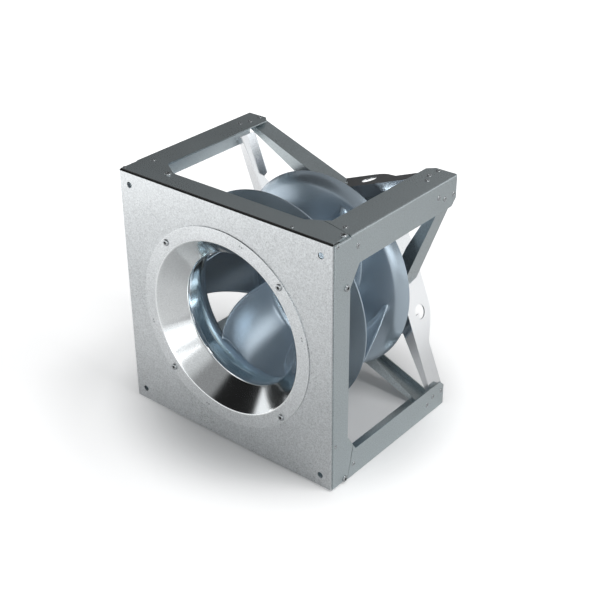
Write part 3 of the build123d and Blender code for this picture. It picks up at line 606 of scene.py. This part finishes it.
def top_fold(face):
    """True on the plate's folded edge at the top."""
    return face.normal.z > facing and face.center.z > top_zone


def top_band_end(face):
    """True on the front end of a band at the top."""
    at_joint = face.center.y < front_face + joint_depth
    return face.normal.y < -facing and at_joint and face.center.z > top_zone


def inside_left(face):
    """True on faces at the far left that look to the right."""
    return face.normal.x > facing and face.center.x < left_zone


# The plate's top fold and the bands' front ends at the top get painted shade, and the faces inside the left
# get painted light.
sheet_nodes = [node for node in sorted(nodes) if slot_of[node] == "galvanised_sheet"]
for node in sheet_nodes:
    if node == "inlet_plate":
        dress_faces(rounded_copy(node, sheet_edge, zinc_plate), painted_shade_black, top_fold)
        continue
    piece = rounded_copy(node, sheet_edge, zinc_rail if node.startswith("motor_rail") else zinc_sheet)
    dress_faces(piece, painted_shade_black, top_band_end)
    dress_faces(piece, painted_light_faces, inside_left)
print("rounded", len(sheet_nodes), "sheet pieces")

# %% [markdown]
# Cast and turned pieces of the motor get the same treatment with a slightly wider edge.

# %% Cast and turned pieces
cast_edge = 0.0005
cast_nodes = [
    "stator_flange",
    "electronics_housing",
    "rotor_cup",
    "electronics_cover",
    "hub_ring",
    "power_cable_gland",
    "signal_cable_gland",
    "motor_shaft",
]
for node in cast_nodes:
    rounded_copy(node, cast_edge)
print("rounded", len(cast_nodes), "cast and turned pieces")

# %% [markdown]
# The nozzle, the shroud and the back disc are spun from flat sheet over a form, so each is a surface of
# revolution: a closed profile of radius and depth, carried round the fan axis. A modifier could spin a curve,
# but a profile worked out in numpy has exact arcs and even faces. It starts as a polyline whose corners
# become arcs.

# %% Profile with rounded corners


def round_path(points, radii, steps):
    """Polyline whose inner corners become arcs of the given radii: each arc starts and ends where it
    touches the two runs, and its points turn evenly from one direction to the other."""
    points = [np.array(point, float) for point in points]
    path = [points[0]]
    for before, corner, after, radius in zip(points[:-2], points[1:-1], points[2:], radii):
        a = (before - corner) / np.linalg.norm(before - corner)
        b = (after - corner) / np.linalg.norm(after - corner)
        half_angle = math.acos(np.clip(a @ b, -1, 1)) / 2
        reach = radius / math.tan(half_angle)
        middle = corner + (a + b) / np.linalg.norm(a + b) * radius / math.sin(half_angle)
        first, last = corner + a * reach - middle, corner + b * reach - middle
        sweep = math.acos(np.clip(first @ last / radius ** 2, -1, 1))
        t = np.linspace(0, 1, steps)[:, None]
        path.extend(middle + (np.sin((1 - t) * sweep) * first + np.sin(t * sweep) * last) / math.sin(sweep))
    path.append(points[-1])
    return np.array(path)


def shorten_ends(points, amount):
    """The two end points move inward by an amount, which leaves room for the rounded ends of the sheet."""
    points = [np.array(point, float) for point in points]
    for end, inner in ((0, 1), (-1, -2)):
        run = points[inner] - points[end]
        points[end] = points[end] + run / np.linalg.norm(run) * amount
    return points


def in_metres(points):
    """Radius and depth behind the front of the plate, in millimetres, to metres in the frame."""
    return np.array([(r / 1000, y / 1000 + front_face) for r, y in points])


def densify(path, step):
    """Points added along long runs, at most a step apart, so that the grid has even faces."""
    pieces = [path[:1]]
    for a, b in zip(path[:-1], path[1:]):
        count = max(1, int(math.ceil(np.linalg.norm(b - a) / step)))
        pieces.append(a + (b - a) * np.linspace(0, 1, count + 1)[1:, None])
    return np.concatenate(pieces)


# %% [markdown]
# The path is one face of the sheet. Moved by the thickness it gives the other face, and two soft ends close
# the profile.

# %% Profile of a sheet


def path_normals(path):
    """Unit normals to the right of a path, from the mean direction at each point."""
    run = np.gradient(path, axis=0)
    run /= np.linalg.norm(run, axis=1)[:, None]
    return np.stack([run[:, 1], -run[:, 0]], 1)


def spun_sheet(path, thickness, squareness=0.35, end_points=7):
    """Closed profile of a sheet from its face path: the back is the path moved by the thickness, and both
    ends are superellipses, nearly square with soft corners."""
    back_side = path + path_normals(path) * thickness
    turns = np.linspace(0, np.pi, end_points + 2)[1:-1][:, None]
    across = np.sign(np.cos(turns)) * np.abs(np.cos(turns)) ** squareness
    beyond = np.sin(turns) ** squareness

    def end_cap(face, backing, outward):
        middle, radial = (face + backing) / 2, (face - backing) / 2
        return middle + across * radial + beyond * outward * thickness / 2

    run_end = (path[-1] - path[-2]) / np.linalg.norm(path[-1] - path[-2])
    run_start = (path[0] - path[1]) / np.linalg.norm(path[0] - path[1])
    tail = end_cap(path[-1], back_side[-1], run_end)
    head = end_cap(back_side[0], path[0], run_start)
    return np.concatenate([path, tail, back_side[::-1], head])


# %% [markdown]
# A grid of points becomes a mesh of quads. A spun piece wraps round in both directions. A blade wraps round
# its section only, so its first and last rows are closed with caps.

# %% Mesh from a grid
same_point = 1e-7


def grid_mesh(name, points, wrap_rows=False, caps=False):
    """Mesh of quads over a grid of points (rows, columns, 3) whose columns wrap round. Caps close the first
    and last rows with rungs between their two halves, so that a thin curved section stays in its own
    surface. Doubles are merged before the normals are turned outwards."""
    rows, columns = points.shape[:2]
    i, j = np.meshgrid(np.arange(rows if wrap_rows else rows - 1), np.arange(columns), indexing="ij")
    i2, j2 = (i + 1) % rows, (j + 1) % columns
    quads = np.stack([i * columns + j, i * columns + j2, i2 * columns + j2, i2 * columns + j], -1)
    faces = quads.reshape(-1, 4).tolist()
    if caps:
        for start in (0, (rows - 1) * columns):
            for k in range(columns // 2 - 1):
                faces.append([start + k, start + k + 1, start + columns - 2 - k, start + columns - 1 - k])
    mesh = bpy.data.meshes.new(name)
    mesh.from_pydata(points.reshape(-1, 3).tolist(), [], faces)
    shape = bmesh.new()
    shape.from_mesh(mesh)
    bmesh.ops.remove_doubles(shape, verts=shape.verts, dist=same_point)
    bmesh.ops.recalc_face_normals(shape, faces=shape.faces)
    shape.to_mesh(mesh)
    shape.free()
    mesh.shade_smooth()
    return mesh


def revolved(name, profile, around=240):
    """Surface of revolution: each profile point (radius, depth) goes round the fan axis."""
    angles = np.linspace(0, 2 * np.pi, around, endpoint=False)
    r, y = profile[:, 0][:, None], profile[:, 1][:, None]
    points = np.stack([r * np.cos(angles), y + 0 * r * angles, r * np.sin(angles) + axis_height], -1)
    return grid_mesh(name, points, wrap_rows=True)


# %% [markdown]
# The nozzle has a flat flange on the plate, a conical mouth and a short throat, in millimetres of radius and
# depth as in the CAD model. Its flange is dull like the plate, and the rest is polished by the spinning.

# %% Inlet nozzle
face_step = 0.006
nozzle_sheet = 0.002
flange_start = 0.1755
nozzle_points = [(199.5, -2.0), (172.0, -2.0), (132.0, 44.0), (132.0, 53.0)]
nozzle_bends = [4.0, 11.0]
nozzle_line = round_path(shorten_ends(nozzle_points, 1.0), nozzle_bends, 10)
nozzle_path = densify(in_metres(nozzle_line), face_step)
nozzle_mesh = revolved("inlet_nozzle_spun", spun_sheet(nozzle_path, nozzle_sheet, squareness=0.2))
nozzle = stand_for(new_piece(nozzle_mesh), "inlet_nozzle")


def on_flange(face):
    """True outside the mouth of the nozzle."""
    return math.hypot(face.center.x, face.center.z - axis_height) > flange_start


dress_faces(nozzle, zinc_flange, on_flange)
print("nozzle faces", len(nozzle_mesh.polygons))

# %% [markdown]
# The shroud is the front skin of the impeller: a collar that runs round the nozzle's throat, a knee, and a
# flare out to the rim. Its collar is polished, and it takes the light of the eye lamp.

# %% Front shroud
skin_sheet = 0.003
skin_end = 1.5
shroud_points = [(136.5, 46.0), (136.5, 92.0), (158.0, 121.0), (221.0, 136.0)]
shroud_bends = [60.0, 40.0]
shroud_line = round_path(shorten_ends(shroud_points, skin_end), shroud_bends, 12)
shroud_path = densify(in_metres(shroud_line), face_step)
shroud_mesh = revolved("front_shroud_spun", spun_sheet(shroud_path, skin_sheet))
shroud = stand_for(new_piece(shroud_mesh), "impeller_front_shroud")
collar_end = front_face + 0.086


def on_collar(face):
    """True on the shroud's collar and the start of its knee."""
    return face.center.y < collar_end


dress_faces(shroud, eye_polish, on_collar)
lit_by_eye_lamp.objects.link(shroud)
print("shroud faces", len(shroud_mesh.polygons))

# %% [markdown]
# The back disc is flat at the hub, then a cone with a rounded shoulder and a short skirt at the rim.

# %% Back disc
disc_points = [(205.5, 292.5), (196.0, 275.5), (82.0, 230.0), (24.0, 230.0)]
disc_bends = [35.0, 30.0]
disc_line = round_path(shorten_ends(disc_points, skin_end), disc_bends, 14)
disc_path = densify(in_metres(disc_line), face_step)
disc_mesh = revolved("back_disc_spun", spun_sheet(disc_path, skin_sheet))
stand_for(new_piece(disc_mesh), "impeller_back_disc")
print("disc faces", len(disc_mesh.polygons))

# %% [markdown]
# A blade is a thin curved sheet, welded between the two skins. A flat sheet could be bent with modifiers, but
# its twist would be guesswork. Here its form is a formula. The leading and the trailing edge run straight
# from the back disc to the shroud in radius and depth, and shares say how far along them a depth lies. The
# blade's angle is a cubic in the log of the radius, so it leaves the eye steeply and sweeps back to the rim.

# %% Angle of a blade
lead_hub, lead_shroud = np.array([96.0, 237.1]), np.array([139.0, 97.5])
trail_hub, trail_shroud = np.array([173.5, 266.5]), np.array([219.5, 139.0])
slope_at_disc, slope_gain = 20, 9
lead_angle_at_disc, lead_angle_gain = -162.4, 26.9
trail_angle_at_disc, trail_angle_gain = -73.4, -15.7
straight_part, curved_part = 0.3, 0.7


def edge_share(y, hub_point, shroud_point):
    """Share of the way from the back disc to the shroud at a depth."""
    return (hub_point[1] - y) / (hub_point[1] - shroud_point[1])


def edge_slope(share):
    """Tangent of the angle between blade and circle: flatter at the back disc than at the shroud."""
    return np.tan(np.radians(slope_at_disc + slope_gain * np.clip(share, -0.1, 1.1)))


def lead_angle(share):
    """Angle of the leading edge: it grows slowly near the back disc and faster near the shroud."""
    v = np.clip(share, -0.3, 1.3)
    return np.radians(lead_angle_at_disc + lead_angle_gain * (straight_part * v + curved_part * v ** 3))


def trail_angle(share):
    """Angle of the trailing edge: a parabola that levels out at the shroud."""
    v = np.clip(share, -0.1, 1.0)
    return np.radians(trail_angle_at_disc + trail_angle_gain * (1 - (1 - v) ** 2))


def blade_angle(r, y):
    """Angle of the blade's middle: a cubic Hermite curve in the log of the radius between the edges."""
    v_lead = edge_share(y, lead_hub, lead_shroud)
    v_trail = edge_share(y, trail_hub, trail_shroud)
    r_lead = lead_hub[0] + (lead_shroud[0] - lead_hub[0]) * v_lead
    r_trail = trail_hub[0] + (trail_shroud[0] - trail_hub[0]) * v_trail
    span = np.log(r_trail / r_lead)
    t = np.log(r / r_lead) / span
    slope_lead = span / edge_slope(v_lead)
    slope_trail = span / edge_slope(v_trail)
    s = np.clip(t, 0, 1)
    curve = (trail_angle(v_trail) - lead_angle(v_lead)) * (3 * s ** 2 - 2 * s ** 3)
    curve = curve + slope_lead * (s ** 3 - 2 * s ** 2 + s) + slope_trail * (s ** 3 - s ** 2)
    curve = curve + slope_lead * np.minimum(0, t) + slope_trail * np.maximum(0, t - 1)
    return lead_angle(v_lead) + curve


print("blade angle at the eye", np.round(np.degrees(blade_angle(lead_shroud[0], lead_shroud[1])), 1))

# %% [markdown]
# The middle surface of a blade blends from a run along the back disc to a run along the shroud. Both runs lie
# inside the sheet of their skin, so that the blade seats in it.

# %% Middle surface of a blade
chord_points, span_points = 70, 30
disc_inset = 0.8
shroud_inset = -1.2
lead_overlap = 0.035
trail_drop = 4.4


def skin_run(path_mm, first, last, count):
    """Points on a skin's path between two radii, evenly spaced along it."""
    inside = path_mm[(path_mm[:, 0] > first[0]) & (path_mm[:, 0] < last[0])]
    inside = inside[np.argsort(inside[:, 0])]
    run = np.concatenate([[first], inside, [last]])
    length = np.concatenate([[0], np.cumsum(np.linalg.norm(np.diff(run, axis=0), axis=1))])
    at = np.linspace(0, length[-1], count)
    return np.stack([np.interp(at, length, run[:, 0]), np.interp(at, length, run[:, 1])], -1)


def blade_middle():
    """Points and angles of the middle surface, on a grid along the chord and the span. The grid is closer
    at both skins."""
    along_disc = (disc_path - [0, front_face]) * 1000 + [0, disc_inset]
    along_shroud = (shroud_path - [0, front_face]) * 1000 + [0, shroud_inset]
    lead_top = lead_shroud + lead_overlap * (lead_shroud - lead_hub)
    trail_top = np.array([trail_shroud[0], trail_shroud[1] - trail_drop])
    hub_run = skin_run(along_disc, lead_hub, trail_hub, chord_points)
    shroud_run = skin_run(along_shroud, lead_top, trail_top, chord_points)
    v = np.linspace(0, 1, span_points)
    v = v - 0.5 * np.sin(2 * np.pi * v) / (2 * np.pi)
    place = hub_run[:, None] + (shroud_run - hub_run)[:, None] * v[None, :, None]
    r, y = place[..., 0], place[..., 1]
    a = blade_angle(r, y)
    x, z = r * np.cos(a) / 1000, r * np.sin(a) / 1000 + axis_height
    return np.stack([x, y / 1000 + front_face, z], -1), a


print("middle surface", blade_middle()[0].shape)

# %% [markdown]
# Two sides are moved off the middle surface by half the wall. The wall is thin at both edges, as a quarter
# circle rounds them, and grows to a fillet where the blade meets the skins, like a weld. Near the back disc
# the sides move along the disc's cone, so that the fillet's foot stays in the sheet.

# %% Wall of a blade
blade_sheet = 0.0036
edge_wall = 0.12
disc_fillet, disc_fillet_reach = 0.009, 0.02
shroud_fillet, shroud_fillet_reach = 0.003, 0.006
fillet_power = 2.5


def run_lengths(points, axis):
    """Length along one direction of the grid, up to each point."""
    return np.linalg.norm(np.gradient(points, axis=axis), axis=-1).cumsum(axis)


def half_walls(middle):
    """Half the wall at each point: a rounded leading and trailing edge, and a fillet at each skin."""
    length = run_lengths(middle, 0)
    height = run_lengths(middle, 1)
    from_edge = np.minimum(length, length[-1:] - length) / (blade_sheet / 2)
    wall = blade_sheet / 2 * np.sqrt(np.clip(1 - (1 - np.clip(from_edge, 0, 1)) ** 2, 0.0, 1))
    wall[0] = wall[-1] = blade_sheet * edge_wall
    fillet = disc_fillet * np.clip(1 - height / disc_fillet_reach, 0, 1) ** fillet_power
    below_shroud = (height[:, -1:] - height) / shroud_fillet_reach
    fillet = fillet + shroud_fillet * np.clip(1 - below_shroud, 0, 1) ** fillet_power
    return wall + fillet * np.clip(from_edge / 4, 0, 1)


def side_directions(middle, angle):
    """Direction in which the sides move: the surface normal, and along the disc's cone near the disc."""
    normal = np.cross(np.gradient(middle, axis=0), np.gradient(middle, axis=1))
    normal /= np.linalg.norm(normal, axis=-1)[..., None]
    run = (trail_hub - lead_hub) / np.linalg.norm(trail_hub - lead_hub)
    cone = np.stack([run[1] * np.cos(angle), -run[0] + 0 * angle, run[1] * np.sin(angle)], -1)
    nearness = np.clip(1 - run_lengths(middle, 1) / disc_fillet_reach, 0, 1)
    lean = (normal * cone).sum(-1) * nearness
    return normal - cone * lean[..., None]


# %% [markdown]
# The two sides are joined to one closed loop per section, and the shell is turned round the fan axis to its
# place. Three blades show in the eye and take the eye lamp's light, and one has a lamp of its own.

# %% Blades
blade_count = 5
blades_in_eye = (1, 2, 3)
blade_in_window = 0


def blade_mesh(name, turn_angle):
    """Closed shell of a blade, turned about the fan axis by an angle."""
    middle, angle = blade_middle()
    half_wall = half_walls(middle)[..., None]
    sideways = side_directions(middle, angle)
    loop = np.concatenate([middle + sideways * half_wall, (middle - sideways * half_wall)[::-1]])
    loop = loop.transpose(1, 0, 2)
    c, s = math.cos(turn_angle), math.sin(turn_angle)
    x, z = loop[..., 0], loop[..., 2] - axis_height
    turned = np.stack([x * c - z * s, loop[..., 1], x * s + z * c + axis_height], -1)
    return grid_mesh(name, turned, caps=True)


for k in range(blade_count):
    mesh = blade_mesh("blade_%d_curved" % (k + 1), math.radians(360 / blade_count * k))
    blade = stand_for(new_piece(mesh), "impeller_blade_%d" % (k + 1))
    if k in blades_in_eye:
        lit_by_eye_lamp.objects.link(blade)
    if k == blade_in_window:
        lit_by_blade_lamp.objects.link(blade)
print("blades", blade_count)

# %% [markdown]
# Screws and rivets are bought parts, and small, but the light finds them. Their places and sizes are read
# from the CAD solids: each loose island of a fastener node is one fastener, and its box gives the rest.

# %% Places of the fasteners


def islands(node):
    """Corner pairs of the loose solids in a CAD node's mesh."""
    shape = bmesh.new()
    shape.from_mesh(nodes[node].data)
    bmesh.ops.remove_doubles(shape, verts=shape.verts, dist=merge_distance)
    waiting = set(shape.verts)
    boxes = []
    while waiting:
        group, front = set(), [waiting.pop()]
        while front:
            vert = front.pop()
            group.add(vert)
            for edge in vert.link_edges:
                other = edge.other_vert(vert)
                if other in waiting:
                    waiting.discard(other)
                    front.append(other)
        places = np.array([nodes[node].matrix_world @ v.co for v in group])
        boxes.append((places.min(0), places.max(0)))
    shape.free()
    return sorted(boxes, key=lambda box: tuple(np.round(box[0], 5)))


print("fasteners", sum(len(islands(node)) for node in nodes if slot_of[node] == "fasteners"))

# %% [markdown]
# A head is a grid over an angle and a row number. Each row is a radius, a height and a swing: in the rows of
# the recess the radius swings six times round, which makes the lobed drive.

# %% Rows of the heads
drive_lobes = 6


def pan_rows(head_height, shank_radius=None):
    """Rows of a pan head with a lobed recess; a shank, where there is one, comes before the head."""
    def rows(radius, whole):
        shank = whole - head_height
        swing = 0.055 * radius
        dome = [(0.97, 0.0), (1.0, 0.06), (1.0, 0.34), (0.965, 0.6), (0.87, 0.82), (0.72, 0.95), (0.56, 1.0)]
        recess = [(0.43, 0.99, swing), (0.41, 0.93, swing), (0.40, 0.35, swing), (0.30, 0.25, 0)]
        out = []
        if shank_radius:
            out += [(shank_radius * 0.85, 0, 0), (shank_radius, 0.0006, 0), (shank_radius, shank, 0)]
        out += [(radius * share, shank + head_height * height, 0) for share, height in dome]
        return out + [(radius * share, shank + head_height * height, wave) for share, height, wave in recess]
    return rows


def rivet_rows(radius, whole):
    """Rows of a domed rivet with the small pit that the mandrel leaves."""
    dome = [(0.96, 0.0), (1.0, 0.12), (0.97, 0.4), (0.85, 0.72), (0.66, 0.92), (0.46, 1.0), (0.36, 0.97)]
    pit = [(0.31, 0.75), (0.29, 0.35), (0.12, 0.3)]
    return [(radius * share, whole * height, 0) for share, height in dome + pit]


def button_rows(radius, whole):
    """Rows of a plain domed rivet."""
    dome = [(0.97, 0.0), (1.0, 0.25), (0.93, 0.6), (0.75, 0.88), (0.4, 1.0)]
    return [(radius * share, whole * height, 0) for share, height in dome]


def head_grid(rows, around=48):
    """Grid of a round head from its rows, with the swing of its lobes."""
    angle = np.linspace(0, 2 * np.pi, around, endpoint=False)
    rows = np.array(rows)
    radius = rows[:, 0:1] + rows[:, 2:3] * np.cos(drive_lobes * angle)
    return np.stack([radius * np.cos(angle), radius * np.sin(angle), rows[:, 1:2] + 0 * radius], -1)


print("rows of a screw head", len(pan_rows(0.003)(0.005, 0.003)))

# %% [markdown]
# A head's way out is the thinnest side of its box, away from the middle of the plate, unless it is given. All
# heads of a node are one mesh, as the node is one piece. Faces in the recess are dark, since hardly any light
# gets in there.

# %% Meshes of the heads
plate_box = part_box("inlet_plate")
plate_middle = (np.array(plate_box[0]) + np.array(plate_box[1])) / 2
toward_inlet = (1, -1.0)
toward_rear = (1, 1.0)


def placed_head(low, high, rows_for, direction, growth):
    """Grid of one head in its place: its base lies on the low or high end of its box."""
    extent, centre = high - low, (low + high) / 2
    thinnest = int(np.argmin(extent))
    outward = (thinnest, 1.0 if centre[thinnest] > plate_middle[thinnest] else -1.0)
    axis, sign = direction or outward
    across = [i for i in range(3) if i != axis]
    radius = min(extent[i] for i in across) / 2 * growth
    grid = head_grid(rows_for(radius, extent[axis]))
    placed = np.zeros(grid.shape)
    placed[..., across[0]] = centre[across[0]] + grid[..., 0]
    placed[..., across[1]] = centre[across[1]] + grid[..., 1]
    placed[..., axis] = (low if sign > 0 else high)[axis] + sign * grid[..., 2]
    return placed


def head_faces(count, around, start, dark_rows):
    """Faces of one head and, for each, 1 in the recess or else 0. The first and last rows are closed."""
    i, j = np.meshgrid(np.arange(count - 1), np.arange(around), indexing="ij")
    k = (j + 1) % around
    quads = np.stack([i * around + j, i * around + k, (i + 1) * around + k, (i + 1) * around + j], -1)
    faces = (quads.reshape(-1, 4) + start).tolist()
    dark = (i.ravel() >= count - dark_rows).astype(int).tolist()
    last = start + (count - 1) * around
    faces.append(list(range(start, start + around))[::-1])
    faces.append(list(range(last, last + around)))
    return faces, dark + [0, 1 if dark_rows else 0]


def head_mesh(name, node, rows_for, direction, dark_rows, growth):
    """One mesh with a head on every fastener of a node, and for each face 1 in a recess or else 0. The
    heads can be a little wider than in the CAD model, by the growth."""
    points, faces, dark, start = [], [], [], 0
    for low, high in islands(node):
        placed = placed_head(low, high, rows_for, direction, growth)
        count, around = placed.shape[:2]
        more_faces, more_dark = head_faces(count, around, start, dark_rows)
        points.append(placed.reshape(-1, 3))
        faces.extend(more_faces)
        dark.extend(more_dark)
        start += count * around
    mesh = bpy.data.meshes.new(name)
    mesh.from_pydata(np.concatenate(points).tolist(), [], faces)
    shape = bmesh.new()
    shape.from_mesh(mesh)
    bmesh.ops.recalc_face_normals(shape, faces=shape.faces)
    shape.to_mesh(mesh)
    shape.free()
    mesh.shade_smooth()
    mesh.set_sharp_from_angle(angle=math.radians(50))
    return mesh, dark


# %% [markdown]
# Each line of the table is a fastener node, the rows of its head, the way that it faces, how many of the
# last rows are dark, and its growth. Some heads look a little wider in the photograph than in the CAD model.
# The remaining bolts keep their CAD shape, with rounded edges.

# %% Fasteners
bolt_edge = 0.0006
heads = [
    ("nozzle_screws", pan_rows(0.003, 0.004), toward_inlet, 3, 1.2),
    ("frame_screws", pan_rows(0.003), None, 3, 1.15),
    ("frame_rivets", rivet_rows, None, 2, 1.2),
    ("nozzle_rivets", button_rows, toward_inlet, 0, 1.0),
    ("hub_screws", pan_rows(0.004, 0.003), toward_inlet, 3, 1.0),
    ("cover_screws", pan_rows(0.0025, 0.0019), toward_rear, 3, 1.0),
]
for node, rows_for, direction, dark_rows, growth in heads:
    mesh, dark = head_mesh(node + "_detailed", node, rows_for, direction, dark_rows, growth)
    stand_for(new_piece(mesh), node)
    mesh.materials.append(painted_shade_black)
    mesh.polygons.foreach_set("material_index", dark)
for node in ("motor_plate_screws", "flange_bolts"):
    rounded_copy(node, bolt_edge)
print("detailed heads on", len(heads), "nodes")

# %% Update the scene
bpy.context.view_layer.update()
